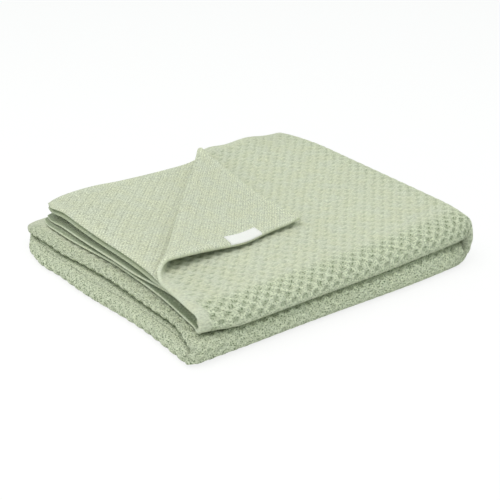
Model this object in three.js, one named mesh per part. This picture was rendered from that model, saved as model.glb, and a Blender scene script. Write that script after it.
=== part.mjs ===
// Knitted crib blanket folded to eight layers, one corner of the top layer turned over.
// Two pieces: the knitted sheet (blanket) and the blank label sewn to its edge (label).
// Millimetres, +Z up.
//
// The sheet is a flat closed slab in cloth coordinates: u along it, v across it, w through it
// (w > 0 is the honeycomb side). Folds carry it to the pile:
//   A  in half along u, smooth sides together, free ends level at the left
//   B  in half across v, folded edge along the front
//   C  in half again, the big fold at the right
//   D  the free corner of the top layer turned over on a slant
// and settle() gives the pile its soft, uneven lie.
import * as THREE from "three";

// ---------------------------------------------------------------- named sizes
const T = 4.7; //             cloth
const PITCH = 5.85; //        layer to layer
const RA = PITCH / 2; //      neutral radius of fold A
const RB = PITCH; //          fold B
const RC = 2 * PITCH; //      fold C
const MID = 3.5 * PITCH + T / 2; // plane between the upper and the lower bundle
const XC = 322; //            fold C starts, from the free ends
const YB = 309; //            fold B starts, from the back edges
const X_FREE = 15; //         the free ends stand in from the lower bundle by this
const X_RIGHT = X_FREE + XC + RC + 1.5 * PITCH + T / 2;
const Y_FRONT = YB + RB + PITCH / 2 + T / 2;
const END_A = 2 * XC + Math.PI * RC + X_FREE - RA - T / 2; // fold A starts
const U_HALF = END_A + (Math.PI * RA) / 2;
const U_ALL = 2 * U_HALF;
const V_ALL = 2 * YB + Math.PI * RB;
const HEM = 1.2; //           how far the rounded edge of the cloth stands out

// Turned-over corner: where its fold starts on the two free edges, how far the loose tip
// lies off a true turn-over, and how far its back edge is drawn in between the ends.
const CORNER = { u: 206, v: 252, tip_x: -53, tip_y: -29, hollow: 9 };
const ROLL = [
  // share of the way from the left edge to the back edge, radius
  { at: 0.0, r: 9 },
  { at: 0.3, r: 7 },
  { at: 0.65, r: 6 },
  { at: 1.0, r: 6.5 },
];
const LIFT = { tip: 3, loop: 8 }; // how far the tip and the lower edge stand up
const LABEL = { from: 63, to: 114, deep: 14, thick: 0.7, off: 0.45, edge: 0.4, hem: 0.1 };

// How the pile lies. "by" is how far the cloth moves: in a bell of half-width "wide"
// round "at", or growing "from" one place "to" another.
const LEFT_END = { from: 0, to: 190 }; // along x, the part that lies askew
const UPPER_END = {
  bow: { at: 110, wide: 80, by: 4.5 },
  front: { at: 0, wide: 45, by: -4 },
  back: { from: 230, to: 320, by: 7 },
};
const LOWER_END = { all: 1, back: { from: 60, to: 290, by: 16 } };
const FRONT_STEP = { by: 10, x: { from: 12, to: 58 }, y: { from: 0, to: 130 } };
const FRONT_SWELL = { by: 4, x: { at: 265, wide: 90 }, y: { from: 0, to: 120 }, soft: 9 };
const LOFT = {
  right: { from: 190, to: 320, by: 0.1 },
  back: { from: 60, to: 320, by: 0.03 },
  hump: { at: 270, wide: 50, by: 0.06 },
  hump_y: { from: 200, to: 330 },
};
const LOW_SWELL = { by: 3, x: { from: 10, to: 80 } };
const SAG = { x: { from: 10, to: 90 }, y: { from: 200, to: 320 }, by: 4, gape: 2 };
const BETWEEN = { bundles: 0.5, layers: 0.9 }; // half-height of a change from one to the next
const ROUNDED = [
  // corner of the footprint, the way out of it, reach, strength, bundle
  { x: X_RIGHT, y: 0, out_x: 1, out_y: -1, r: 40, k: 0.6, of: "both" },
  { x: X_RIGHT, y: Y_FRONT, out_x: 1, out_y: 1, r: 80, k: 0.65, of: "both" },
  { x: 0, y: 0, out_x: -1, out_y: -1, r: 16, k: 0.5, of: "lower" },
  { x: -18, y: Y_FRONT, out_x: -1, out_y: 1, r: 28, k: 0.8, of: "lower" },
];

// How close the facets' stations stand.
const CORNER_CELLS = 11; //  along each free side of the turned-over corner
const ROLL_ROWS = 8; //      round its roll
const FLAP_ROWS = 8; //      over the part turned down
const NEAR = { fold_a: 100, fold_b: 44, fold_c: 40, back: 140 }; // closer within this

const FINISH = {
  blanket: { color: 0xb4bf9f, roughness: 0.95, metalness: 0 },
  label: { color: 0xf0f0ea, roughness: 0.8, metalness: 0 },
};

// ---------------------------------------------------------------- helpers
const clamp = (x, a = 0, b = 1) => Math.min(b, Math.max(a, x));
const smooth = (a, b, x) => {
  const t = clamp((x - a) / (b - a));
  return t * t * (3 - 2 * t);
};
const grow = (range, x) => smooth(range.from, range.to, x);
const bell = (place, x) => Math.exp(-(((x - place.at) / place.wide) ** 2));
const span = (a, b, n) => Array.from({ length: n + 1 }, (_, i) => a + ((b - a) * i) / n);
const join = (...lists) => lists.flatMap((list, i) => (i ? list.slice(1) : list));

function along(table, key, at) {
  let i = 1;
  while (i < table.length - 1 && table[i].at < at) i++;
  const [p, q] = [table[i - 1], table[i]];
  return p[key] + (q[key] - p[key]) * smooth(p.at, q.at, at);
}

// A half-turn fold: s runs along the sheet, h is the height over its neutral line.
function fold(s, h, start, r) {
  const turn = clamp((s - start) / r, 0, Math.PI);
  const past = Math.max(s - start - Math.PI * r, 0);
  return [
    (s < start ? s : start + (r + h) * Math.sin(turn)) - past,
    (r + h) * Math.cos(turn),
  ];
}

// ---------------------------------------------------------------- fold D
const LINE = Math.hypot(CORNER.u, CORNER.v); // length of the slanted fold
const DEEP = (CORNER.u * CORNER.v) / LINE; // from the fold to the corner of the cloth
const CORNER_AT = CORNER.v ** 2 / LINE; // where the corner lies along the fold
const rollAt = (m) => along(ROLL, "r", clamp(m / LINE));

function turnOver(u, v, w, [x, y, z]) {
  const d = DEEP * (1 - u / CORNER.u - v / CORNER.v);
  if (d <= 0 || u > CORNER.u || v > CORNER.v) return [x, y, z];
  const m = ((CORNER.v - v) * CORNER.v + u * CORNER.u) / LINE; // along the fold, from the left
  const n = [-CORNER.v / LINE, CORNER.u / LINE]; // points from the fold to the corner
  const r = rollAt(m);
  const turn = Math.min(d / r, Math.PI);
  const past = Math.max(d - Math.PI * r, 0);
  const share = past / (DEEP - Math.PI * r); // 1 at the tip
  const over = (r - w) * Math.sin(turn) - past;
  const back = Math.max(1 - v / CORNER.v, 0) ** 2; // 1 along the back edge
  const t = clamp(u / CORNER.u);
  const drawn_in = CORNER.hollow * back * share * 4 * t * (1 - t);
  const loop = LIFT.loop * (1 - smooth(0, 0.6, m / LINE)) * share * (1 - share);
  const fall = (2 * r - PITCH) * smooth(0, 0.7, share) - LIFT.tip * share ** 2 - loop;
  return [
    x + (over - d) * n[0] + CORNER.tip_x * share - drawn_in,
    y + (over - d) * n[1] + CORNER.tip_y * share,
    z - w + r - (r - w) * Math.cos(turn) - fall,
  ];
}

// ---------------------------------------------------------------- the lie of the pile
function roundCorner(x, y, c) {
  const a = clamp(((x - c.x) * c.out_x + c.r) / c.r, 0, 1.2);
  const b = clamp(((y - c.y) * c.out_y + c.r) / c.r, 0, 1.2);
  const ka = a * Math.sqrt(1 - (c.k * b * b) / 2);
  const kb = b * Math.sqrt(1 - (c.k * a * a) / 2);
  return [x + (ka - a) * c.r * c.out_x, y + (kb - b) * c.r * c.out_y];
}

function settle([x, y, z]) {
  const upper = smooth(MID - BETWEEN.bundles, MID + BETWEEN.bundles, z);
  const lower = 1 - upper;
  const left = 1 - grow(LEFT_END, x);
  // ends of the bundles, bowed and askew
  const bowed =
    UPPER_END.bow.by * bell(UPPER_END.bow, y) +
    UPPER_END.back.by * grow(UPPER_END.back, y) +
    UPPER_END.front.by * bell(UPPER_END.front, y);
  x += left * upper * bowed;
  x -= left * lower * (LOWER_END.all + LOWER_END.back.by * grow(LOWER_END.back, y));
  // the upper bundle stands back at its front left corner, the lower one swells at the front
  y += FRONT_STEP.by * upper * (1 - grow(FRONT_STEP.x, x)) * (1 - grow(FRONT_STEP.y, y));
  const low = 1 - smooth(MID - FRONT_SWELL.soft, MID + FRONT_SWELL.soft, z);
  y -= FRONT_SWELL.by * low * bell(FRONT_SWELL.x, x) * (1 - grow(FRONT_SWELL.y, y));
  // the end folds are fuller than the pile, and the lowest is the fullest
  const fuller = LOFT.right.by + LOFT.back.by * grow(LOFT.back, y);
  z *= 1 + grow(LOFT.right, x) * fuller + LOFT.hump.by * bell(LOFT.hump, x) * grow(LOFT.hump_y, y);
  z += LOW_SWELL.by * (1 - grow(LOW_SWELL.x, x)) * Math.sin(Math.PI * clamp(z / MID)) * lower;
  // the free corner at the back sags and gapes between the third and fourth layers
  const tip = (1 - grow(SAG.x, x)) * grow(SAG.y, y);
  const layer = MID + PITCH;
  const fourth = 1 - smooth(layer - BETWEEN.layers, layer + BETWEEN.layers, z);
  z -= tip * smooth(0, MID, z) * (SAG.by + SAG.gape * fourth);
  for (const c of ROUNDED) {
    const [round_x, round_y] = roundCorner(x, y, c);
    const share = c.of === "both" ? 1 : lower;
    x += share * (round_x - x);
    y += share * (round_y - y);
  }
  return [x, y, z];
}

function place(u, v, w) {
  const [x1, z1] = fold(u, w, END_A, RA);
  const [y2, z2] = fold(v, z1, YB, RB);
  const [x3, z3] = fold(x1, z2, XC, RC);
  return settle(turnOver(u, v, w, [X_FREE + x3, Y_FRONT - y2, MID + z3]));
}

// ---------------------------------------------------------------- flat meshes
const C_END = XC + Math.PI * RC; // fold C ends, on the outer half
const C_BACK = U_ALL - C_END; //    and starts again on the other half
const U_STATIONS = join(
  span(0, CORNER.u, CORNER_CELLS),
  span(CORNER.u, XC - NEAR.fold_c, 4),
  span(XC - NEAR.fold_c, XC, 3),
  span(XC, C_END, 8),
  span(C_END, END_A - NEAR.fold_a, 4),
  span(END_A - NEAR.fold_a, END_A, 4),
  span(END_A, END_A + Math.PI * RA, 6),
  span(END_A + Math.PI * RA, C_BACK, 6),
  span(C_BACK, U_ALL - XC, 8),
  span(U_ALL - XC, U_ALL, 8),
);
const V_STATIONS = join(
  span(0, CORNER.v, CORNER_CELLS),
  span(CORNER.v, YB - NEAR.fold_b, 3),
  span(YB - NEAR.fold_b, YB, 4),
  span(YB, YB + Math.PI * RB, 8),
  span(YB + Math.PI * RB, V_ALL - NEAR.back, 4),
  span(V_ALL - NEAR.back, V_ALL, 4),
);

// Triangles between points of the cloth. Points that share a place are one point.
function flatMesh() {
  const points = [];
  const faces = [];
  const known = new Map();
  const node = ([u, v]) => {
    const key = u.toFixed(5) + "," + v.toFixed(5);
    if (!known.has(key)) known.set(key, points.push([u, v]) - 1);
    return known.get(key);
  };
  const add = (...corners) => {
    const face = corners.map(node);
    if (new Set(face).size === 3) faces.push(face);
  };
  return { points, faces, add };
}

const cell = (us, vs, i, j) => [
  [us[i], vs[j]],
  [us[i + 1], vs[j]],
  [us[i + 1], vs[j + 1]],
  [us[i], vs[j + 1]],
];

function clothMesh() {
  const mesh = flatMesh();
  const last = CORNER_CELLS - 1;
  for (let i = 0; i < U_STATIONS.length - 1; i++)
    for (let j = 0; j < V_STATIONS.length - 1; j++) {
      const [a, b, c, d] = cell(U_STATIONS, V_STATIONS, i, j);
      if (i > last || j > last) {
        mesh.add(a, b, c);
        mesh.add(a, c, d);
      } else {
        // the cells short of the slanted fold are meshed by cornerRows
        if (i + j > last) mesh.add(a, b, d);
        if (i + j >= last) mesh.add(b, c, d);
      }
    }
  cornerRows(mesh);
  return mesh;
}

// Rows of the turned-over corner, from its fold to the corner of the cloth. They run from
// the left edge to the back edge, and share is how far each has come.
function cornerRows(mesh) {
  const shareAt = (turn, t) => {
    let share = 0;
    for (let i = 0; i < 30; i++) {
      const m = (1 - share) * t * LINE + share * CORNER_AT;
      share = (turn * rollAt(m)) / DEEP;
    }
    return share;
  };
  const row = (k) =>
    span(0, 1, CORNER_CELLS).map((t) => {
      const rolled = shareAt((Math.PI * Math.min(k, ROLL_ROWS)) / ROLL_ROWS, t);
      const share = rolled + ((1 - rolled) * Math.max(k - ROLL_ROWS, 0)) / FLAP_ROWS;
      return [t * CORNER.u * (1 - share), (1 - t) * CORNER.v * (1 - share)];
    });
  const rows = span(0, ROLL_ROWS + FLAP_ROWS, ROLL_ROWS + FLAP_ROWS).map(row);
  for (let k = 0; k < rows.length - 1; k++)
    for (let i = 0; i < CORNER_CELLS; i++) {
      const [a, b, c, d] = [rows[k][i], rows[k][i + 1], rows[k + 1][i + 1], rows[k + 1][i]];
      mesh.add(a, c, b);
      mesh.add(a, d, c);
    }
}

function labelMesh() {
  const mesh = flatMesh();
  const us = span(LABEL.edge, LABEL.deep, 3);
  const vs = span(LABEL.from, LABEL.to, 6);
  for (let i = 0; i < us.length - 1; i++)
    for (let j = 0; j < vs.length - 1; j++) {
      const [a, b, c, d] = cell(us, vs, i, j);
      mesh.add(a, d, c);
      mesh.add(a, c, b);
    }
  return mesh;
}

// ---------------------------------------------------------------- solids
// A closed slab between two heights over a flat mesh, with its rim drawn out to a rounded edge.
function slabFrom({ points, faces }, low, high, out) {
  const area = ([a, b, c]) =>
    (points[b][0] - points[a][0]) * (points[c][1] - points[a][1]) -
    (points[c][0] - points[a][0]) * (points[b][1] - points[a][1]);
  const wound = faces.map(([a, b, c]) => (area([a, b, c]) > 0 ? [a, b, c] : [a, c, b]));
  const sides = new Map();
  for (const face of wound)
    face.forEach((a, i) => {
      const b = face[(i + 1) % 3];
      sides.set(a + "_" + b, [a, b]);
    });
  const rim = [...sides.values()].filter(([a, b]) => !sides.has(b + "_" + a));
  const way = points.map(() => [0, 0]); // out of the cloth, along its plane
  for (const [a, b] of rim) {
    const [du, dv] = [points[b][0] - points[a][0], points[b][1] - points[a][1]];
    const length = Math.hypot(du, dv);
    for (const p of [a, b]) {
      way[p][0] += dv / length;
      way[p][1] -= du / length;
    }
  }
  const xyz = [];
  const put = (u, v, w) => xyz.push(place(u, v, w)) - 1;
  const over = points.map(([u, v]) => put(u, v, high));
  const under = points.map(([u, v]) => put(u, v, low));
  const edge = new Map();
  for (const [a] of rim) {
    const far = out / Math.hypot(...way[a]);
    const [u, v] = [points[a][0] + far * way[a][0], points[a][1] + far * way[a][1]];
    edge.set(a, put(u, v, (low + high) / 2));
  }
  // y runs against v, so the cloth's u, v, w is left-handed in the pile
  const tri = [];
  for (const [a, b, c] of wound)
    tri.push([over[a], over[c], over[b]], [under[a], under[b], under[c]]);
  for (const [a, b] of rim)
    tri.push(
      [over[a], edge.get(b), edge.get(a)],
      [over[a], over[b], edge.get(b)],
      [edge.get(a), under[b], under[a]],
      [edge.get(a), edge.get(b), under[b]],
    );
  return { xyz, tri };
}

function meshOf(name, { xyz, tri }, shift) {
  const geometry = new THREE.BufferGeometry();
  const moved = xyz.flatMap((p) => p.map((c, i) => c - shift[i]));
  geometry.setAttribute("position", new THREE.Float32BufferAttribute(moved, 3));
  geometry.setIndex(tri.flat());
  geometry.computeVertexNormals();
  const mesh = new THREE.Mesh(geometry, new THREE.MeshStandardMaterial(FINISH[name]));
  mesh.name = name;
  return mesh;
}

const sheet = slabFrom(clothMesh(), -T / 2, T / 2, HEM);
const label_top = -T / 2 - LABEL.off;
const label = slabFrom(labelMesh(), label_top - LABEL.thick, label_top, LABEL.hem);

// origin at the middle of the footprint, on the ground
const all = [...sheet.xyz, ...label.xyz];
const least = [0, 1, 2].map((i) => Math.min(...all.map((p) => p[i])));
const most = [0, 1, 2].map((i) => Math.max(...all.map((p) => p[i])));
const SHIFT = [(least[0] + most[0]) / 2, (least[1] + most[1]) / 2, least[2]];

const group = new THREE.Group();
group.name = "crib_blanket";
group.add(meshOf("blanket", sheet, SHIFT), meshOf("label", label, SHIFT));
export default group;
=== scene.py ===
"""Knitted crib blanket folded to eight layers, one corner of its top layer turned over.

The cloth is made flat, as bmesh slabs in pattern coordinates s (along) and t (across), in
millimetres, with the honeycomb knit as relief on its right side. The same folds as the solid's
then carry it to the pile. It is cut into four pieces where the cuts lie hidden between layers.
"""

import math
from collections import namedtuple

import bmesh
import bpy
import numpy as np
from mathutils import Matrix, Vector


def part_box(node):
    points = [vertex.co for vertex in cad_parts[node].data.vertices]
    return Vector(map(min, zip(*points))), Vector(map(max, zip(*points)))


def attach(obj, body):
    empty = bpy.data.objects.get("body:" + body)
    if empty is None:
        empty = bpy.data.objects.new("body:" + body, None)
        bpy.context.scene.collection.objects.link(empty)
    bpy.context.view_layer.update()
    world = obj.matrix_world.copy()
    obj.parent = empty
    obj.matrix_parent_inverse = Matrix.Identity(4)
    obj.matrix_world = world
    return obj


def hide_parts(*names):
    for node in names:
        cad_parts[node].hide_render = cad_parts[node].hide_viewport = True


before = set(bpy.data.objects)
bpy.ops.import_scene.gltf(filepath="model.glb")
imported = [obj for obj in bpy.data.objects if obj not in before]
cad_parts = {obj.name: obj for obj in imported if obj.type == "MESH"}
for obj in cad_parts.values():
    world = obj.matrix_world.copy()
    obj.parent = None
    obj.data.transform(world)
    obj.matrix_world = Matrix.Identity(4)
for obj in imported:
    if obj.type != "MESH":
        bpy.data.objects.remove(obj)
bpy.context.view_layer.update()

MM = 0.001
PI = math.pi

# ---------------------------------------------------------------- sizes of the folded cloth
THICK = 4.7
PITCH = 5.85  # layer to layer
R_A = PITCH / 2  # neutral radius of the fold that halves the length
R_B = PITCH  # the fold along the front
R_C = 2 * PITCH  # the big fold at the right
MID = 3.5 * PITCH + THICK / 2  # plane between the two bundles
X_C = 322  # the big fold starts, from the free ends
Y_B = 309  # the front fold starts, from the back edges
X_FREE = 15  # the free ends stand in by this
X_RIGHT = X_FREE + X_C + R_C + 1.5 * PITCH + THICK / 2
Y_FRONT = Y_B + R_B + PITCH / 2 + THICK / 2
END_A = 2 * X_C + PI * R_C + X_FREE - R_A - THICK / 2
U_ALL = 2 * END_A + PI * R_A
V_ALL = 2 * Y_B + PI * R_B

Turn = namedtuple("Turn", "u v tip_x tip_y hollow")
CORNER = Turn(209, 244, -48, -20, 9)  # where the turned corner's fold meets the free edges
ROLL_AT = (0.0, 0.3, 0.65, 1.0)  # share of the way from the left edge to the back edge
ROLL_R = (7.5, 6, 4.6, 3.9)
LIFT_TIP = 3
LIFT_LOOP = 4
LIFT_PEAK = 1.5
LIFT_EDGE = 1.6  # along its back edge

Bell = namedtuple("Bell", "at wide by")
Rise = namedtuple("Rise", "start end by")
# the turned corner; a share runs from its fold, 0, to its tip, 1
LOOP_ENDS = Rise(0, 0.6, 1)  # share of the way from the left edge to the back edge
PEAK_AT = Rise(0.75, 1, 1)
PEAK_STARTS = Rise(0, 8, 1)  # past the fold line
PEAK_ENDS = Rise(0, 0.6, 1)  # share
EDGE_ENDS = Rise(0, 22, 1)  # from the back edge
EDGE_STARTS = Rise(0, 0.2, 1)  # share
FALL_ENDS = Rise(0, 0.7, 1)  # share
BULGE_V = Bell(96, 34, 5)  # its free edge bulges forward at the label
BULGE_U = Rise(0, 80, 1)
BULGE_STARTS = Rise(0, 0.3, 1)  # share
# the left end, upper bundle and lower bundle
LEFT_END = Rise(0, 190, 1)
UPPER_BOW = Bell(130, 90, 7.2)
UPPER_FRONT = Bell(0, 30, -1)
UPPER_BACK = Rise(285, 320, 2)
FOLD_IN_FRONT = Rise(-20, 58, 13)  # the lower bundle's upper fold stands in by this
FOLD_IN_NEAR = Bell(50, 28, 1.8)
FOLD_IN_MIDDLE = Bell(165, 50, 3)
FOLD_IN_BACK = Rise(205, 250, -5)
FOLD_IN_LATE = Bell(258, 28, 3)
FOLD_IN_SOFT = 0.55
FOLD_IN_REACH = Rise(0, 110, 1)
LOWER_OUT = 2.5
LOWEST_OUT = Bell(172, 62, 4.6)
LOWEST_BACK = Bell(254, 22, 4)
LOWEST_CUT = Rise(280, 320, 9)
LOWER_BACK = Rise(60, 290, 16)
# the front
FRONT_STEP_X = Rise(12, 58, 1)
FRONT_STEP_Y = Rise(0, 130, 10)
FRONT_SWELL_X = Bell(265, 90, 4)
FRONT_SWELL_Y = Rise(0, 120, 1)
FRONT_SWELL_SOFT = 9
# loft and sag
LOFT_RIGHT = Rise(190, 320, 0.1)
LOFT_BACK = Rise(60, 320, -0.012)
LOFT_FAR_X = Rise(310, 360, 0.1)
LOFT_FAR_Y = Rise(-60, 60, 1)
LOFT_HUMP_X = Bell(280, 36, 0.115)
LOFT_HUMP_Y = Rise(200, 330, 1)
LOW_SWELL = Rise(10, 80, 3)
SAG_X = Rise(40, 170, 1)
SAG_Y = Rise(180, 300, -3.2)
GAPE = 0.2
BETWEEN_BUNDLES = 0.5
BETWEEN_LAYERS = 0.9
Round = namedtuple("Round", "x y out_x out_y r k where")
LOW_FOLD, HIGH_FOLD, UPPER, ALL = range(4)  # where a corner is rounded
ROUNDED = (  # r is how far the rounding reaches, k how round it is
    Round(X_RIGHT, 0, 1, -1, 40, 0.6, ALL),
    Round(X_RIGHT, Y_FRONT, 1, 1, 80, 0.65, ALL),
    Round(0, 0, -1, -1, 16, 0.5, LOW_FOLD),
    Round(0, 0, -1, -1, 16, 0.5, HIGH_FOLD),
    Round(-18, Y_FRONT, -1, 1, 32, 0.85, LOW_FOLD),
    Round(-8, Y_FRONT, -1, 1, 20, 0.7, HIGH_FOLD),
    Round(15, Y_FRONT, -1, 1, 26, 0.5, UPPER),
)
LayerEnd = namedtuple("LayerEnd", "layer front middle corner turns")  # how far a free end is set in
LAYER_ENDS = (
    LayerEnd(2, 8, 0, 0, Rise(60, 105, 1)),
    LayerEnd(3, 10, -1.2, -1.2, Rise(60, 150, 1)),
    LayerEnd(4, 3.5, 1.0, -6, Rise(60, 160, 1)),
)
END_CORNER = Rise(165, 275, 1)
END_FOLD = Rise(4, 20, 1)  # the ends run out flush at the front fold
END_REACH = Rise(15, 80, 1)
WEDGE = Rise(170, 300, 4.6)  # opening between the second and third layers at the free corner
WEDGE_REACH = Rise(15, 90, 1)
LINE_OPEN = 0.9  # and along the whole free end
LOW_CORNER_X = Rise(0, 50, 1)
LOW_CORNER_Y = Rise(270, 320, 0.03)
RAISED_X = Bell(230, 20, 6.5)  # the back edge beside the turned corner's peak
RAISED_Y = Rise(285, 325, 1)
RIGHT_LEAN = Rise(322, 366, 10)  # the big fold's lowest part stands in by this
LEAN_FRONT = Rise(0, 60, 1.2)  # and by so much more at the front
GATHER_X = Bell(336, 20, 4)  # the front is drawn in where the gap between the bundles ends
GATHER_Y = Rise(0, 60, 1)
NICK_X = Bell(318, 5, 3.0)  # a pinch in the gap between the bundles
NICK_Y = Rise(6, 26, 1)
DROOP_X = Rise(10, 95, 1)  # the upper bundle's free corner hangs by this
DROOP_Y = Rise(262, 318, 0.42)
RIGHT_OUT = 0.7  # the big fold stands out past the solid's by this


def smooth(a, b, x):
    t = np.clip((x - a) / (b - a), 0, 1)
    return t * t * (3 - 2 * t)


def rise(r, x):
    return r.by * smooth(r.start, r.end, x)


def bell(b, x):
    return b.by * np.exp(-(((x - b.at) / b.wide) ** 2))


# ---------------------------------------------------------------- folds
def fold(s, h, start, r):
    """A half-turn: s runs along the cloth, h is the height over its neutral line."""
    turn = np.clip((s - start) / r, 0, PI)
    past = np.maximum(s - start - PI * r, 0)
    return np.where(s < start, s, start + (r + h) * np.sin(turn)) - past, (r + h) * np.cos(turn)


LINE = math.hypot(CORNER.u, CORNER.v)
DEEP = CORNER.u * CORNER.v / LINE
ROLL_TABLE_AT = np.linspace(0, 1, 401)
ROLL_TABLE = np.empty_like(ROLL_TABLE_AT)
for here, there, r_here, r_there in zip(ROLL_AT, ROLL_AT[1:], ROLL_R, ROLL_R[1:]):
    part = (ROLL_TABLE_AT >= here) & (ROLL_TABLE_AT <= there)
    ROLL_TABLE[part] = r_here + (r_there - r_here) * smooth(here, there, ROLL_TABLE_AT[part])


def over_corner(u, v):
    """How far a point of the cloth lies past the turned corner's fold line."""
    return DEEP * (1 - u / CORNER.u - v / CORNER.v)


def turn_over(u, v, w, x, y, z):
    d = over_corner(u, v)
    turned = (d > 0) & (u <= CORNER.u) & (v <= CORNER.v)
    m = ((CORNER.v - v) * CORNER.v + u * CORNER.u) / LINE
    nx, ny = -CORNER.v / LINE, CORNER.u / LINE
    r = np.interp(m / LINE, ROLL_TABLE_AT, ROLL_TABLE)
    turn = np.clip(d / r, 0, PI)
    past = np.maximum(d - PI * r, 0)
    share = past / (DEEP - PI * r)
    over = (r - w) * np.sin(turn) - past
    back = np.maximum(1 - v / CORNER.v, 0) ** 2
    t = np.clip(u / CORNER.u, 0, 1)
    drawn_in = CORNER.hollow * back * share * 4 * t * (1 - t)
    loop = LIFT_LOOP * (1 - rise(LOOP_ENDS, m / LINE)) * share * (1 - share)
    peak = LIFT_PEAK * rise(PEAK_AT, m / LINE) * rise(PEAK_STARTS, d) * (1 - rise(PEAK_ENDS, share))
    peak = peak + LIFT_EDGE * (1 - rise(EDGE_ENDS, v)) * rise(EDGE_STARTS, share)
    bulge = bell(BULGE_V, v) * (1 - rise(BULGE_U, u)) * rise(BULGE_STARTS, share)
    fall = (2 * r - PITCH) * rise(FALL_ENDS, share) - LIFT_TIP * share**2 - loop - peak
    return (
        np.where(turned, x + (over - d) * nx + CORNER.tip_x * share - drawn_in, x),
        np.where(turned, y + (over - d) * ny + CORNER.tip_y * share - bulge, y),
        np.where(turned, z - w + r - (r - w) * np.cos(turn) - fall, z),
    )


def settle(x, y, z):
    """The soft, uneven lie of the pile."""
    upper = smooth(MID - BETWEEN_BUNDLES, MID + BETWEEN_BUNDLES, z)
    lower = 1 - upper
    left = 1 - rise(LEFT_END, x)
    for end in LAYER_ENDS:
        middle = MID + (4.5 - end.layer) * PITCH
        this = 1 - smooth(PITCH / 2 - BETWEEN_LAYERS, PITCH / 2 + BETWEEN_LAYERS, np.abs(z - middle))
        set_in = end.front + (end.middle - end.front) * rise(end.turns, y)
        set_in = set_in + (end.corner - end.middle) * rise(END_CORNER, y)
        x = x + this * set_in * rise(END_FOLD, y) * (1 - rise(END_REACH, x))
    halfway = MID + 2 * PITCH
    under = 1 - smooth(halfway - BETWEEN_LAYERS, halfway + BETWEEN_LAYERS, z)
    opening = (LINE_OPEN + rise(WEDGE, y)) * (1 - rise(WEDGE_REACH, x)) * rise(END_FOLD, y)
    pressed = under * opening * np.clip(z / halfway, 0, 1)
    half = MID - 2 * PITCH
    upper_fold = lower * smooth(half - FOLD_IN_SOFT, half + FOLD_IN_SOFT, z)
    fold_in = rise(FOLD_IN_FRONT, y) + bell(FOLD_IN_MIDDLE, y) + rise(FOLD_IN_BACK, y)
    fold_in = fold_in + bell(FOLD_IN_LATE, y) + bell(FOLD_IN_NEAR, y)
    fold_out = bell(LOWEST_OUT, y) + bell(LOWEST_BACK, y) - rise(LOWEST_CUT, y)
    near = 1 - rise(FOLD_IN_REACH, x)
    bowed = bell(UPPER_BOW, y) + rise(UPPER_BACK, y) + bell(UPPER_FRONT, y)
    x = x + left * (upper * bowed - lower * (LOWER_OUT + rise(LOWER_BACK, y)))
    x = x + near * upper_fold * fold_in - near * (lower - upper_fold) * fold_out
    y = y + upper * (1 - rise(FRONT_STEP_X, x)) * (FRONT_STEP_Y.by - rise(FRONT_STEP_Y, y))
    low = 1 - smooth(MID - FRONT_SWELL_SOFT, MID + FRONT_SWELL_SOFT, z)
    y = y - low * bell(FRONT_SWELL_X, x) * (1 - rise(FRONT_SWELL_Y, y))
    fuller = rise(LOFT_RIGHT, x) * (1 + rise(LOFT_BACK, y) / LOFT_RIGHT.by)
    fuller = fuller + rise(LOFT_FAR_X, x) * rise(LOFT_FAR_Y, y)
    z = z * (1 + fuller + bell(LOFT_HUMP_X, x) * rise(LOFT_HUMP_Y, y))
    z = z + (LOW_SWELL.by - rise(LOW_SWELL, x)) * np.sin(PI * np.clip(z / MID, 0, 1)) * lower
    fourth = 1 - smooth(MID + PITCH - BETWEEN_LAYERS, MID + PITCH + BETWEEN_LAYERS, z)
    sag = rise(SAG_Y, y) / SAG_Y.by * (SAG_Y.by + GAPE * fourth)
    z = z - (1 - rise(SAG_X, x)) * smooth(0, MID, z) * sag
    lean = 1 + LEAN_FRONT.by - rise(LEAN_FRONT, y)
    x = x - rise(RIGHT_LEAN, x) * lean * np.clip(1 - z / MID, 0, 1) ** 2
    x = x - bell(GATHER_X, x) * (1 - rise(GATHER_Y, y))
    nick = bell(NICK_X, x) * (1 - rise(NICK_Y, y)) * np.clip(z / MID, 0, 1) ** 2
    z = z - nick * lower
    z = z + bell(RAISED_X, x) * rise(RAISED_Y, y) * smooth(MID, MID + 4 * PITCH, z)
    droop = (1 - rise(DROOP_X, x)) * rise(DROOP_Y, y)
    z = z - droop * np.maximum(z - MID, 0)
    z = z * (1 - rise(LOW_CORNER_Y, y) * (1 - rise(LOW_CORNER_X, x)))
    z = z - pressed
    places = (lower - upper_fold, upper_fold, upper, 1)
    for c in ROUNDED:
        a = np.clip(((x - c.x) * c.out_x + c.r) / c.r, 0, 1.2)
        b = np.clip(((y - c.y) * c.out_y + c.r) / c.r, 0, 1.2)
        share = places[c.where]
        x = x + share * a * (np.sqrt(1 - c.k * b * b / 2) - 1) * c.r * c.out_x
        y = y + share * b * (np.sqrt(1 - c.k * a * a / 2) - 1) * c.r * c.out_y
    return x, y, z


DOUBLED_BY = 5.6  # the second layer's end is a doubled hem where the corner has left it bare
DOUBLED_CLEAR = Rise(3, 20, 1)  # from the turned corner's fold
DOUBLED_REACH = Rise(12, 95, 1)  # from the free end


def doubled(u, v):
    clear = rise(DOUBLED_CLEAR, over_corner(U_ALL - u, v))
    return np.where(v < Y_B, clear * (1 - rise(DOUBLED_REACH, U_ALL - u)), 0)


def lay(u, v, w):
    """Where a point of the cloth lies in the pile, in millimetres, before the pile is centred."""
    x1, z1 = fold(u, w, END_A, R_A)
    y2, z2 = fold(v, z1, Y_B, R_B)
    x3, z3 = fold(x1, z2, X_C, R_C)
    x, y, z = turn_over(u, v, w, X_FREE + x3, Y_FRONT - y2, MID + z3)
    x, y, z = settle(x, y, z)
    return x, y, z + DOUBLED_BY * doubled(u, v) * (0.5 - w / THICK)


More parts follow.
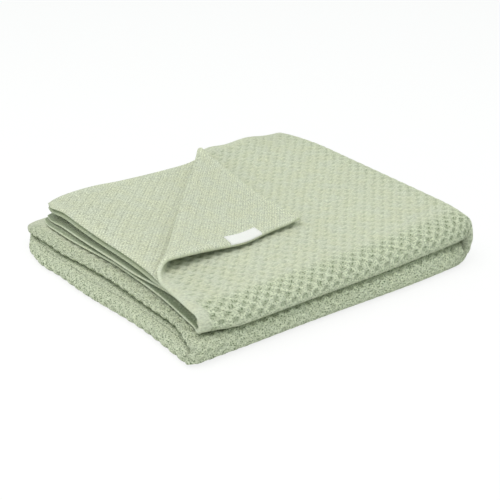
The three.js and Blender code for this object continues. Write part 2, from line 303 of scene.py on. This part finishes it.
def box_of_lay():
    u, v = np.meshgrid(np.linspace(0, U_ALL, 700), np.linspace(0, V_ALL, 300))
    sides = [np.stack(lay(u, v, np.full_like(u, w)), -1).reshape(-1, 3) for w in (-THICK / 2, THICK / 2)]
    points = np.concatenate(sides)
    return points.min(0), points.max(0)


# the pile is centred on the solid's box across, set to its right end, and laid on its floor
low_corner, high_corner = (np.array(c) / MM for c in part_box("blanket"))
lay_low, lay_high = box_of_lay()
SHIFT = (low_corner + high_corner - lay_low - lay_high) / 2
SHIFT[0] = high_corner[0] + RIGHT_OUT - lay_high[0]
SHIFT[2] = low_corner[2] - lay_low[2]

# ---------------------------------------------------------------- pattern coordinates
# On the outside of a fold the honeycomb side is longer than the neutral line, so the knit is
# laid out on s and t, which run along that outer face.
OUTER = THICK / 2
U_KNOTS = [0, X_C, X_C + PI * R_C, END_A, END_A + PI * R_A, U_ALL - X_C - PI * R_C, U_ALL - X_C, U_ALL]
V_KNOTS = [0, Y_B, Y_B + PI * R_B, V_ALL]
C_STRETCH = (R_C + R_B + R_A + OUTER) / R_C
A_STRETCH = (R_A + OUTER) / R_A
B_STRETCH = (R_B + R_A + OUTER) / R_B
U_STRETCH = [1, C_STRETCH, 1, A_STRETCH, 1, 1, 1]
V_STRETCH = [1, B_STRETCH, 1]


def knots(ends, stretch):
    steps = [(b - a) * k for a, b, k in zip(ends, ends[1:], stretch)]
    return np.concatenate([[0], np.cumsum(steps)])


S_KNOTS = knots(U_KNOTS, U_STRETCH)
T_KNOTS = knots(V_KNOTS, V_STRETCH)
S_ALL, T_ALL = S_KNOTS[-1], T_KNOTS[-1]
S_C_END, S_A, S_A_END = S_KNOTS[2], S_KNOTS[3], S_KNOTS[4]
T_B, T_B_END = T_KNOTS[1], T_KNOTS[2]

# ---------------------------------------------------------------- knit
CELL_S = 12.6  # honeycomb: every second cell is set off by half of both
CELL_T = 13.9
CELL_DEEP = 1.0
CELL_OPENS = 0.8  # deeper where a fold stretches the knit
BORDER = 8.5  # plain border along every cut edge
EDGE_R = THICK / 2
AT_END = 0.1  # a vertex or a face within this of a free end is on it
END_FACE = 0.97
T_PULLED = T_B + 0.62 * (T_B_END - T_B)  # past the front fold's middle the relief is drawn flat
PULLED_UPPER = 0.85
PULLED_LOWER = 0.2
PULL_SOFT = 4
PULL_PAST = 6
LEFT_FLAT = Rise(-7, -1, 1)  # the left fold's last turn is flat too
LEFT_FLAT_PAST = 30
BACK_GROOVE = 0.35
HEM_NOTCH = 7  # how deep the doubled hem opens
HEM_NOTCH_WIDE = 0.85
END_THIN = Rise(1, 9, 0.2)  # the free ends thin out by this share
SLIT_SHADE = Rise(0.45, 0.95, 1)  # painted shade: the faces in the slits between the free ends are darkened in colour
SLIT_SHADE_DEEP = Rise(2, 8, 1)  # from the free end
SHADOW_BESIDE = Rise(6, 85, 1)  # painted shadow: the layer beside the turned corner's fold is darkened, its dashes deeper
RINGED_RIGHT = 0.3  # how far the big fold draws the knit open, and how much it is darkened as painted shade
FRONT_BEFORE = 9  # the front fold's stretched knit and its painted shade start before the fold
LEFT_BEFORE = 4
LEFT_AFTER = 16


CELL_RS = 4.6  # half sizes of a cell's oval rim
CELL_RT = 4.9
RIM_HIGH = 0.35
RIM_AT = 1.05  # in the distance that from_cell gives
RIM_WIDE = 0.17
BOWL = Rise(0.3, 0.95, 1)
NEAR_OUT = 16  # a stretched zone eases in over this much outside a fold
NEAR_IN = 3
SIDE_FACE = 0.99  # |w| / OUTER from which a vertex is on the wrong side's face
MANY = 9.0


def drawn(s, t):
    """The knit pulled a little out of true."""
    s2 = s + 0.5 * np.sin(t / 31) + 0.35 * np.sin(s / 23 + t / 47)
    return s2, t + 0.5 * np.sin(s / 37 + 1) + 0.3 * np.sin(t / 19 + s / 53)


def from_cell(s, t):
    """Distance from the nearest cell's middle: 0 there, 1 on its rim."""
    nearest = MANY
    for half in (0.0, 0.5):
        ds = (np.mod(s / CELL_S + half, 1) - 0.5) * CELL_S / CELL_RS
        dt = (np.mod(t / CELL_T + half, 1) - 0.5) * CELL_T / CELL_RT
        nearest = np.minimum(nearest, np.hypot(ds, dt))
    return nearest


def near_fold(s, start, end):
    """1 on a fold, 0 away from it."""
    return smooth(start - NEAR_OUT, start + NEAR_IN, s) * (1 - smooth(end - NEAR_IN, end + NEAR_OUT, s))


def to_edge(s, t):
    return np.minimum(np.minimum(s, S_ALL - s), np.minimum(t, T_ALL - t))


Zone = namedtuple("Zone", "s0 s1 t0 t1")


def slab(zone, columns, rows, thick):
    """A flat closed slab over a zone, its middle plane at height 0."""
    bm = bmesh.new()
    across, along = zone.s1 - zone.s0, zone.t1 - zone.t0
    bmesh.ops.create_grid(bm, x_segments=columns, y_segments=rows, size=0.5)
    bmesh.ops.scale(bm, vec=(across, along, 1), verts=bm.verts)
    bmesh.ops.translate(bm, vec=(zone.s0 + across / 2, zone.t0 + along / 2, 0), verts=bm.verts)
    bmesh.ops.solidify(bm, geom=bm.faces[:], thickness=thick)
    middle = (min(v.co.z for v in bm.verts) + max(v.co.z for v in bm.verts)) / 2
    bmesh.ops.translate(bm, vec=(0, 0, -middle), verts=bm.verts)
    return bm


def knit_slab(zone, cell, levels):
    """A slab of knit, its faces halved as often as levels(s, t, side) says."""
    columns, rows = (zone.s1 - zone.s0) / cell, (zone.t1 - zone.t0) / cell
    bm = slab(zone, round(columns), round(rows), THICK)
    for level in (1, 2, 3):
        finer = [face for face in bm.faces if levels(*face.calc_center_median()) >= level]
        edges = list(dict.fromkeys(edge for face in finer for edge in face.edges))
        bmesh.ops.subdivide_edges(bm, edges=edges, cuts=1, use_grid_fill=True)
    return bm


def rounded_edge(s, t, w):
    """Rolls the square rim of the cloth's cut edges to a half round."""
    e = np.clip(to_edge(s, t), 0, None)
    near_s = np.minimum(s, S_ALL - s) <= np.minimum(t, T_ALL - t)
    out_s = np.where(near_s, np.where(s < S_ALL / 2, -1, 1), 0)
    out_t = np.where(near_s, 0, np.where(t < T_ALL / 2, -1, 1))
    q = np.where(e < 1e-4, np.abs(w), EDGE_R + e)
    rim = q < EDGE_R * PI / 2
    angle = q / EDGE_R
    new_e = EDGE_R * PI / 2 - EDGE_R - EDGE_R * np.cos(angle)
    new_w = np.sign(w) * EDGE_R * np.sin(angle)
    moved = np.where(rim, e - new_e, 0)
    return s + out_s * moved, t + out_t * moved, np.where(rim, new_w, w)


def flat_mesh(name, bm):
    """The mesh and its vertices' three coordinates."""
    mesh = bpy.data.meshes.new(name)
    bm.to_mesh(mesh)
    bm.free()
    flat = np.empty(len(mesh.vertices) * 3)
    mesh.vertices.foreach_get("co", flat)
    return mesh, flat.reshape(-1, 3).T


def laid(mesh, u, v, w, map_name, along, across):
    """The flat mesh laid in the pile as an object, with a map of its flat pattern."""
    placed = (np.stack(lay(u, v, w), -1) + SHIFT) * MM
    mesh.vertices.foreach_set("co", placed.reshape(-1))
    uv = mesh.uv_layers.new(name=map_name)
    corner = np.empty(len(mesh.loops), dtype=np.int32)
    mesh.loops.foreach_get("vertex_index", corner)
    uv.data.foreach_set("uv", (np.stack([along, across], -1)[corner] * MM).reshape(-1))
    mesh.update()
    bm = bmesh.new()
    bm.from_mesh(mesh)
    bmesh.ops.recalc_face_normals(bm, faces=bm.faces)
    bm.to_mesh(mesh)
    bm.free()
    mesh.shade_smooth()
    piece = bpy.data.objects.new(mesh.name, mesh)
    bpy.context.collection.objects.link(piece)
    return piece


def knit_piece(name, zone, cell, levels):
    mesh, (s, t, w) = flat_mesh(name, knit_slab(zone, cell, levels))
    e = to_edge(s, t)
    plain = 1 - smooth(BORDER - 2, BORDER + 2.5, e)
    knit_s, knit_t = drawn(s, t)
    reach = from_cell(knit_s, knit_t)
    below = smooth(S_KNOTS[1], S_C_END, s) * (1 - smooth(S_KNOTS[5], S_KNOTS[6], s))
    pulled = PULLED_UPPER + (PULLED_LOWER - PULLED_UPPER) * below
    past_middle = smooth(T_PULLED - PULL_SOFT, T_PULLED + PULL_SOFT, t) * (t < T_B_END + PULL_PAST)
    relief = (1 - plain) * (1 - pulled * past_middle)
    relief = relief * (1 - rise(LEFT_FLAT, s - S_A_END) * (s < S_A_END + LEFT_FLAT_PAST))
    front = near_fold(t, T_B - FRONT_BEFORE, T_B_END)
    right = RINGED_RIGHT * near_fold(s, S_KNOTS[1], S_KNOTS[2])
    left = near_fold(s, S_A - LEFT_BEFORE, S_A_END + LEFT_AFTER)
    ringed = np.maximum(right, front * (1 - below)) * (1 - plain)
    speckled = np.maximum(left, front * below) * (1 - plain)
    opened = np.maximum(ringed, speckled)
    bowl = (1 - rise(BOWL, reach)) * relief
    rim = np.exp(-(((reach - RIM_AT) / RIM_WIDE) ** 2)) * relief
    right_side = np.clip(w / OUTER, 0, 1)
    s2, t2, w2 = rounded_edge(s, t, w)
    w2 = w2 + right_side * (RIM_HIGH * rim - (CELL_DEEP + CELL_OPENS * opened) * bowl)
    w2 = w2 + (w < -OUTER * SIDE_FACE) * BACK_GROOVE * rim
    thin = (END_THIN.by - rise(END_THIN, np.minimum(s, S_ALL - s))) * ((s > S_ALL / 2) | (t > T_B_END))
    w2 = w2 * (1 - thin)
    u, v = np.interp(s2, S_KNOTS, U_KNOTS), np.interp(t2, T_KNOTS, V_KNOTS)
    u = np.where(s2 < 0, s2, np.where(s2 > S_ALL, U_ALL + s2 - S_ALL, u))
    v = np.where(t2 < 0, t2, np.where(t2 > T_ALL, V_ALL + t2 - T_ALL, v))
    notch = doubled(u, v) * np.exp(-((w2 / HEM_NOTCH_WIDE) ** 2)) * (S_ALL - s < AT_END)
    u = u - HEM_NOTCH * notch
    second = (s > S_ALL / 2) & (w > 0)
    # painted shade in the slits between the free ends, and in the doubled hem's notch
    slit_shade = np.where(t < T_B_END, second, True) * rise(SLIT_SHADE, np.abs(w) / OUTER)
    slit_shade = slit_shade * (1 - rise(SLIT_SHADE_DEEP, np.minimum(s, S_ALL - s)))
    slit_shade = np.maximum(slit_shade, notch)
    # where the turned corner's painted shadow lies beside its fold
    shadow_beside_corner = 1 - rise(SHADOW_BESIDE, -over_corner(u, v))
    for label, values in (
        ("hollow", bowl),
        ("rim", rim),
        ("side", w / OUTER),
        ("plain", plain),
        ("ringed", ringed),
        ("speckled", speckled),
        ("slit_shade", slit_shade),
        ("shadow_beside_corner", shadow_beside_corner),
    ):
        layer = mesh.attributes.new(label, "FLOAT", "POINT")
        layer.data.foreach_set("value", values.astype(np.float32))
    return laid(mesh, u, v, w2, "cloth", knit_s, knit_t)


# how near to an edge or a fold the mesh is finer
RIM_TOP = 4
RIM = 6
CORNER_RIGHT = 4  # past the turned corner's fold the right side lies hidden
CORNER_WRONG = -14
LOW_FRONT = 22
LOW_LEFT = 16
INNER_LEFT = (42, 6)
INNER_FRONT = 8
FRONT_BACK = 5
FREE_END = 10
BARE_S = 215  # the second layer lies bare under the turned corner, from its free end
BARE_T = 262  # and from the back edge


def is_end_face(s, side, end):
    """The side faces of a cut end."""
    return abs(side) < OUTER * END_FACE and abs(s - end) < AT_END


def top_levels(s, t, side):
    u, v = np.interp(s, S_KNOTS, U_KNOTS), np.interp(t, T_KNOTS, V_KNOTS)
    past = over_corner(u, v)
    if is_end_face(s, side, 0):
        return 3
    if side > 0:
        return 1 if past > CORNER_RIGHT else 2
    return 2 if past > CORNER_WRONG or to_edge(s, t) < RIM_TOP else 0


def low_levels(s, t, side):
    rim = to_edge(s, t) < RIM
    if side > 0:
        return 2 if t > T_B - LOW_FRONT or s > S_A - LOW_LEFT or rim else 1
    return 1 if rim else 0


def inner_levels(s, t, side):
    left_fold = S_A - INNER_LEFT[0] < s < S_A_END + INNER_LEFT[1] and t > T_B_END - FRONT_BACK
    front_fold = t < T_B_END + INNER_FRONT and s < S_A_END
    rim = to_edge(s, t) < RIM
    if is_end_face(s, side, 0) or is_end_face(s, side, S_ALL):
        return 3
    if s > S_ALL - BARE_S and t < BARE_T and side < 0:
        return 2
    if side > 0:
        return 2 if left_fold or front_fold else 1 if rim else 0
    return 1 if rim or s < FREE_END else 0


CELL_TOP = 5.4  # faces of the flat slabs before they are halved
CELL_REST = 5.0
SEAM = 6  # how far inside a gap the pieces meet
SEAM_TOP = 8
S_SEAM = S_C_END + SEAM_TOP
T_SEAM = T_B_END + SEAM
S_INNER = S_A_END + SEAM
top = knit_piece("blanket_top", Zone(0, S_SEAM, 0, T_SEAM), CELL_TOP, top_levels)
low = knit_piece("blanket_low", Zone(S_SEAM, S_INNER, 0, T_SEAM), CELL_REST, low_levels)
inner_back = knit_piece("blanket_inner", Zone(S_INNER, S_ALL, 0, T_ALL), CELL_REST, inner_levels)
inner_fold = knit_piece("blanket_middle", Zone(0, S_INNER, T_SEAM, T_ALL), CELL_REST, inner_levels)
cloth_pieces = [top, low, inner_back, inner_fold]


# ---------------------------------------------------------------- label
LABEL_V = (65, 118)  # along the turned corner's free edge
LABEL_DEEP = 14.5
LABEL_LOW = 0.8  # its lower side, from the middle of the cloth's rim
LABEL_THICK = 0.45
LABEL_CLEAR = 0.15
LABEL_BEVEL = 0.12
LABEL_COLUMNS, LABEL_ROWS = 44, 16


def label_piece():
    """A woven ribbon laid on the wrong side, its lower long side on the cloth's rounded rim."""
    zone = Zone(*LABEL_V, LABEL_LOW, LABEL_LOW + LABEL_DEEP)
    bm = slab(zone, LABEL_COLUMNS, LABEL_ROWS, LABEL_THICK)
    outline = [e for e in bm.edges if len(e.link_faces) == 2 and e.calc_face_angle() > 1]
    bmesh.ops.bevel(
        bm,
        geom=outline,
        offset=LABEL_BEVEL,
        affect="EDGES",
        segments=2,
        profile=0.5,
        material=-1,
    )
    mesh, (v, q, h) = flat_mesh("label_ribbon", bm)
    quarter = EDGE_R * PI / 2
    r = EDGE_R + LABEL_CLEAR + LABEL_THICK / 2 + h
    angle = np.minimum(q, quarter) / EDGE_R
    u = quarter - EDGE_R - r * np.cos(angle) + np.maximum(q - quarter, 0)
    return laid(mesh, u, v, -r * np.sin(angle), "ribbon", v, q)


label = label_piece()


# ---------------------------------------------------------------- finishes
class Value:
    """A number socket that Python's operators build Math nodes on."""

    def __init__(self, nodes, socket):
        self.nodes, self.socket = nodes, socket

    def math(self, operation, *others):
        sockets = dict(enumerate((self, *others)))
        return self.nodes.node("Math", {"operation": operation}, sockets)

    def __add__(self, other):
        return self.math("ADD", other)

    def __sub__(self, other):
        return self.math("SUBTRACT", other)

    def __mul__(self, other):
        return self.math("MULTIPLY", other)

    def __truediv__(self, other):
        return self.math("DIVIDE", other)

    def __rsub__(self, other):
        return self.nodes.node("Math", {"operation": "SUBTRACT"}, {0: other, 1: self})

    __radd__ = __add__
    __rmul__ = __mul__

    def smooth(self, start, end):
        """0 at start, 1 at end, easing in between."""
        sockets = {0: self, 1: start, 2: end}
        return self.nodes.node("MapRange", {"interpolation_type": "SMOOTHSTEP"}, sockets)


class Nodes:
    """The nodes of a material or of the world, made one call at a time."""

    def __init__(self, owner):
        owner.use_nodes = True
        self.tree = owner.node_tree
        self.tree.nodes.clear()

    def node(self, kind, settings=None, sockets=None, out=0):
        """One output of a new node, or the node itself where out is None."""
        made = self.tree.nodes.new("ShaderNode" + kind)
        for key, value in (settings or {}).items():
            setattr(made, key, value)
        for key, value in (sockets or {}).items():
            self.put(made.inputs[key], value)
        return made if out is None else Value(self, made.outputs[out])

    def put(self, socket, value):
        value = value.socket if isinstance(value, Value) else value
        if isinstance(value, bpy.types.NodeSocket):
            self.tree.links.new(value, socket)
        else:
            socket.default_value = value

    def background_rays(self):
        """1 for the rays that show the background to the eye, in gloss or through glass."""
        rays = self.node("LightPath", out=None).outputs
        seen = Value(self, rays["Is Camera Ray"])
        for kind in ("Is Glossy Ray", "Is Transmission Ray"):
            seen = seen.math("MAXIMUM", Value(self, rays[kind]))
        return seen


class Finish(Nodes):
    """A material and its main shader."""

    def __init__(self, name, **uniform):
        self.material = bpy.data.materials.new(name)
        super().__init__(self.material)
        self.shader = self.node("BsdfPrincipled", {}, uniform, out=None)
        self.output = self.node("OutputMaterial", {}, {"Surface": self.shader.outputs[0]}, out=None)

    def shade(self, **sockets):
        for key, value in sockets.items():
            self.put(self.shader.inputs[key.replace("_", " ")], value)

    def blend(self, share, first, second, kind="MIX"):
        """A mix of two colours."""
        settings = {"data_type": "RGBA", "blend_type": kind}
        return self.node("Mix", settings, {0: share, 6: first, 7: second}, out=2)

    def shaded(self, colour, shade):
        """A colour made lighter or darker by a number."""
        light = self.node("CombineColor", {}, {0: shade, 1: shade, 2: shade})
        return self.blend(1.0, colour, light, "MULTIPLY")

    def attribute(self, name):
        return self.node("Attribute", {"attribute_name": name}, out=2)

    def noise(self, place, kind):
        return self.node("TexNoise", {}, {"Vector": place, "Scale": kind.scale, "Detail": kind.detail})

    def map_of(self, name):
        """A piece's own map, and its two numbers in millimetres."""
        place = self.node("UVMap", {"uv_map": name})
        axes = self.node("SeparateXYZ", {}, {0: place}, out=None).outputs
        return place, Value(self, axes[0]) / MM, Value(self, axes[1]) / MM


Noise = namedtuple("Noise", "scale detail")
FINE = Noise(900, 2)
YARN = Noise(620, 1.5)
SPECK = Noise(680, 1)
PATCH = Noise(55, 2)
BROAD = Noise(14, 2)
SLUB = Noise(700, 2)
STITCH_S = CELL_S / 6  # a column of stitches
STITCH_T = CELL_T / 8  # a row
SLANT = 1.2  # of a stitch's two legs
HOLES = ((1.7, -1.9, 1.0), (-1.8, 1.5, 0.85))  # from a cell's middle, and how wide
THREAD_WARM = (0.66, 0.69, 0.515, 1)
THREAD_COOL = (0.648, 0.685, 0.54, 1)
THREAD_OPEN = (0.63, 0.69, 0.50, 1)  # where a fold draws the knit apart, greener as painted shade
HOLE_AND_SHADE_GREEN = (0.13, 0.2, 0.085, 1)  # the dark seen between the threads, also the colour of the painted shade


def knit_finish():
    f = Finish("knit", Roughness=0.95)
    cloth, s, t = f.map_of("cloth")
    hollow = f.attribute("hollow")
    rim = f.attribute("rim")
    plain = f.attribute("plain")
    side = f.attribute("side")
    ringed = f.attribute("ringed")
    speckled = f.attribute("speckled")
    slit_shade = f.attribute("slit_shade")
    shadow_beside_corner = f.attribute("shadow_beside_corner")
    opened = ringed.math("MAXIMUM", speckled)
    right = side.smooth(0.2, 0.9)
    wrong = side.smooth(-0.2, -0.9)
    # stitches: columns across the cloth, two slanting legs in each
    across = (s / STITCH_S).math("FRACT") - 0.5
    row = t / STITCH_T + across.math("ABSOLUTE") * SLANT
    leg = (across * (2 * PI)).math("SINE").math("ABSOLUTE")
    stitch = leg * (0.55 + 0.45 * (row * (2 * PI)).math("COSINE"))
    # painted shade and painted highlight: a dark dash across each cell and a light dash just in front of it
    # stand for the shaded and the lit wall of its hollow; and the small holes where its stitches draw apart
    hole = 0.0
    shadow_dash = 0.0
    highlight_dash = 0.0
    for half in (0.0, 0.5):
        ds = ((s / CELL_S + half).math("FRACT") - 0.5) * CELL_S
        dt = ((t / CELL_T + half).math("FRACT") - 0.5) * CELL_T
        long_s = ds.math("ABSOLUTE").smooth(3.4, 1.6)
        shadow_dash = dt.math("ABSOLUTE").smooth(1.7, 0.3) * long_s + shadow_dash
        highlight_dash = (dt - 2.6).math("ABSOLUTE").smooth(1.5, 0.3) * long_s + highlight_dash
        for at_s, at_t, wide in HOLES:
            away = ((ds - at_s) * (ds - at_s) + (dt - at_t) * (dt - at_t)).math("SQRT")
            hole = away.smooth(wide, wide * 0.35) + hole
    knitted = right * (1 - plain)
    lie = f.node("VectorMath", {"operation": "MULTIPLY"}, {0: cloth, 1: (0.5, 1, 1)})
    fine = f.noise(cloth, FINE)
    yarn = f.noise(lie, YARN)
    speck = f.noise(cloth, SPECK)
    patch = f.noise(cloth, PATCH)
    broad = f.noise(cloth, BROAD)
    along_p = s / CELL_S + t / CELL_T
    along_q = s / CELL_S - t / CELL_T
    grain = (along_p * (6 * PI)).math("COSINE") + (along_q * (6 * PI)).math("COSINE")
    grain = grain * yarn.smooth(0.3, 0.65) * 1.5
    height = stitch * 0.6 + fine * 0.5 + yarn * (0.8 + right * 0.8)
    height = height + speck * (ringed * 1.6 + speckled * 3.0)
    height = height - hole * knitted * 0.5 - shadow_dash * knitted * 0.6 + grain * wrong * 0.22
    bump = f.node("Bump", {}, {"Height": height, "Strength": 1.0, "Distance": 0.7 * MM})
    # painted shade: the ringed fold zones darker overall
    shade = 0.99 + wrong * 0.025 - ringed * 0.1
    shade = shade + (fine - 0.5) * 0.16 + (broad - 0.5) * 0.05 + (stitch - 0.4) * 0.08
    shade = shade + (yarn - 0.5) * (0.5 + right * 0.25 + wrong * 0.35)
    shade = shade + (speck - 0.5) * (wrong * 1.2 + ringed * 1.0 + speckled * 1.3)
    # painted highlight: the light dash in each cell
    shade = shade + highlight_dash * knitted * 0.08
    # painted highlight on the right side's cell rims, stronger on the folds; the wrong side's rim lines are
    # darker
    shade = shade + rim * (right * (0.03 + ringed * 0.2) - wrong * 0.1) + grain * wrong * 0.09
    # the colour of the thread, and the dark between the threads, into which the painted shade is blended
    thread = f.blend(patch.smooth(0.3, 0.7), THREAD_WARM, THREAD_COOL)
    # greener on the folds: drawn-open knit, partly painted shade
    thread = f.blend(opened * knitted * 0.6, thread, THREAD_OPEN)
    # the holes dark, far darker on the folds: drawn-open knit, partly painted shade
    holes_and_shade = hole * knitted * (0.06 + ringed * 0.55 + speckled * 0.2)
    # painted shade: the dark dash in each cell, weaker on the folds
    holes_and_shade = holes_and_shade + shadow_dash * knitted * (1 - opened * 0.6) * 0.19
    # dark specks on the folds: drawn-open knit, partly painted shade
    holes_and_shade = holes_and_shade + speck.smooth(0.43, 0.3) * (ringed * 0.55 + speckled * 1.0) * right
    # painted shade in the cell hollows, deeper on the folds
    holes_and_shade = holes_and_shade + hollow * right * (0.02 + ringed * 0.16)
    # painted shadow beside the turned corner's fold
    holes_and_shade = holes_and_shade + speck.smooth(0.4, 0.28) * 0.14 + (shadow_dash * 0.14 + 0.035) * knitted * shadow_beside_corner
    # painted shade in the slits between the free ends
    holes_and_shade = holes_and_shade + slit_shade * 0.6
    f.shade(Base_Color=f.blend(holes_and_shade, f.shaded(thread, shade), HOLE_AND_SHADE_GREEN), Normal=bump)
    return f.material


WARP = 0.9
WEFT = 0.55
SEWN_IN = 1.8  # the stitches that hold the label, from its short ends
SEWN_WIDE = 0.55
SEWN_DASH = 2.4
SELVAGE = (1.2, 0.9)
RIBBON = (0.87, 0.87, 0.84, 1)
RIBBON_THREAD = (0.66, 0.68, 0.62, 1)


def label_finish():
    f = Finish("label_ribbon", Roughness=0.5)
    ribbon, along, across = f.map_of("ribbon")
    half_long, half_deep = (LABEL_V[1] - LABEL_V[0]) / 2, LABEL_DEEP / 2
    weave = (along * (2 * PI / WARP)).math("COSINE") * (across * (2 * PI / WEFT)).math("COSINE")
    slub = f.noise(ribbon, SLUB)
    from_end = (along - sum(LABEL_V) / 2).math("ABSOLUTE") - half_long + SEWN_IN
    dash = (across * (2 * PI / SEWN_DASH)).math("COSINE").smooth(-0.2, 0.4)
    sewn = from_end.math("ABSOLUTE").smooth(SEWN_WIDE, SEWN_WIDE - 0.3) * dash
    from_middle = (across - (LABEL_LOW + half_deep)).math("ABSOLUTE")
    selvage = from_middle.smooth(half_deep - SELVAGE[0], half_deep - SELVAGE[1])
    shade = 1.0 + weave * 0.03 + (slub - 0.5) * 0.14 - selvage * 0.04
    height = weave * 0.5 + slub * 0.6 - sewn * 1.2 + selvage * 0.5
    bump = f.node("Bump", {}, {"Height": height, "Strength": 0.8, "Distance": 0.2 * MM})
    f.shade(Base_Color=f.blend(sewn * 0.8, f.shaded(RIBBON, shade), RIBBON_THREAD), Normal=bump)
    return f.material


knit = knit_finish()
for piece in cloth_pieces:
    piece.data.materials.append(knit)
label.data.materials.append(label_finish())

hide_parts("blanket")
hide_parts("label")
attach(label, "root")
for piece in cloth_pieces:
    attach(piece, "root")


# ---------------------------------------------------------------- floor, light and camera
FLOOR_HALF = 6
FLOOR_SHARE = 0.8  # of the floor that is plain white to the eye; the rest keeps the shadow
FLOOR_PAPER = (0.96, 0.96, 0.96, 1)
WHITE = (1, 1, 1, 1)
SKY = (0.895, 1.0, 0.94, 1)
SKY_LIGHT = 0.72


def floor():
    bm = bmesh.new()
    bmesh.ops.create_grid(bm, x_segments=1, y_segments=1, size=FLOOR_HALF)
    mesh = bpy.data.meshes.new("floor")
    bm.to_mesh(mesh)
    bm.free()
    made = bpy.data.objects.new("floor", mesh)
    bpy.context.collection.objects.link(made)
    f = Finish("floor_paper", Roughness=0.9)
    f.shade(Base_Color=FLOOR_PAPER)
    glow = f.node("Emission", {}, {"Color": WHITE, "Strength": 1.0})
    share = f.background_rays() * FLOOR_SHARE
    mixed = f.node("MixShader", {}, {0: share, 1: f.shader.outputs[0], 2: glow})
    f.put(f.output.inputs["Surface"], mixed)
    mesh.materials.append(f.material)


def studio():
    world = bpy.data.worlds.new("studio")
    bpy.context.scene.world = world
    nodes = Nodes(world)
    white = nodes.node("Background", {}, {"Color": WHITE, "Strength": 1.0})
    sky = nodes.node("Background", {}, {"Color": SKY, "Strength": SKY_LIGHT})
    both = nodes.node("MixShader", {}, {0: nodes.background_rays(), 1: sky, 2: white})
    nodes.node("OutputWorld", {}, {"Surface": both}, out=None)


def lamp(name, place, aim, size, power, colour):
    light = bpy.data.lights.new(name, "AREA")
    light.shape = "SQUARE"
    light.size = size
    light.energy = power
    light.color = colour
    made = bpy.data.objects.new(name, light)
    bpy.context.collection.objects.link(made)
    made.location = place
    made.rotation_mode = "QUATERNION"
    made.rotation_quaternion = (Vector(aim) - Vector(place)).to_track_quat("-Z", "Y")


floor()
studio()
lamp("softbox_over", place=(-0.38, -0.2, 1.6), aim=(0, 0, 0), size=1.6, power=16.6, colour=(1, 0.92, 0.955))

AIM = Vector((-0.0238, -0.0386, 0.025))
DISTANCE = 1.0616
AZIMUTH = math.radians(-35.95)
ELEVATION = math.radians(26.98)
back = Vector(
    (
        math.sin(AZIMUTH) * math.cos(ELEVATION),
        -math.cos(AZIMUTH) * math.cos(ELEVATION),
        math.sin(ELEVATION),
    )
)
camera_data = bpy.data.cameras.new("camera")
camera_data.sensor_width = 36
camera_data.lens = 75.5
camera = bpy.data.objects.new("camera", camera_data)
bpy.context.collection.objects.link(camera)
camera.location = AIM + back * DISTANCE
camera.rotation_mode = "QUATERNION"
camera.rotation_quaternion = (-back).to_track_quat("-Z", "Y")
camera_data.clip_start = 0.05
camera_data.clip_end = 30
bpy.context.scene.camera = camera
bpy.context.scene.view_settings.view_transform = "Standard"
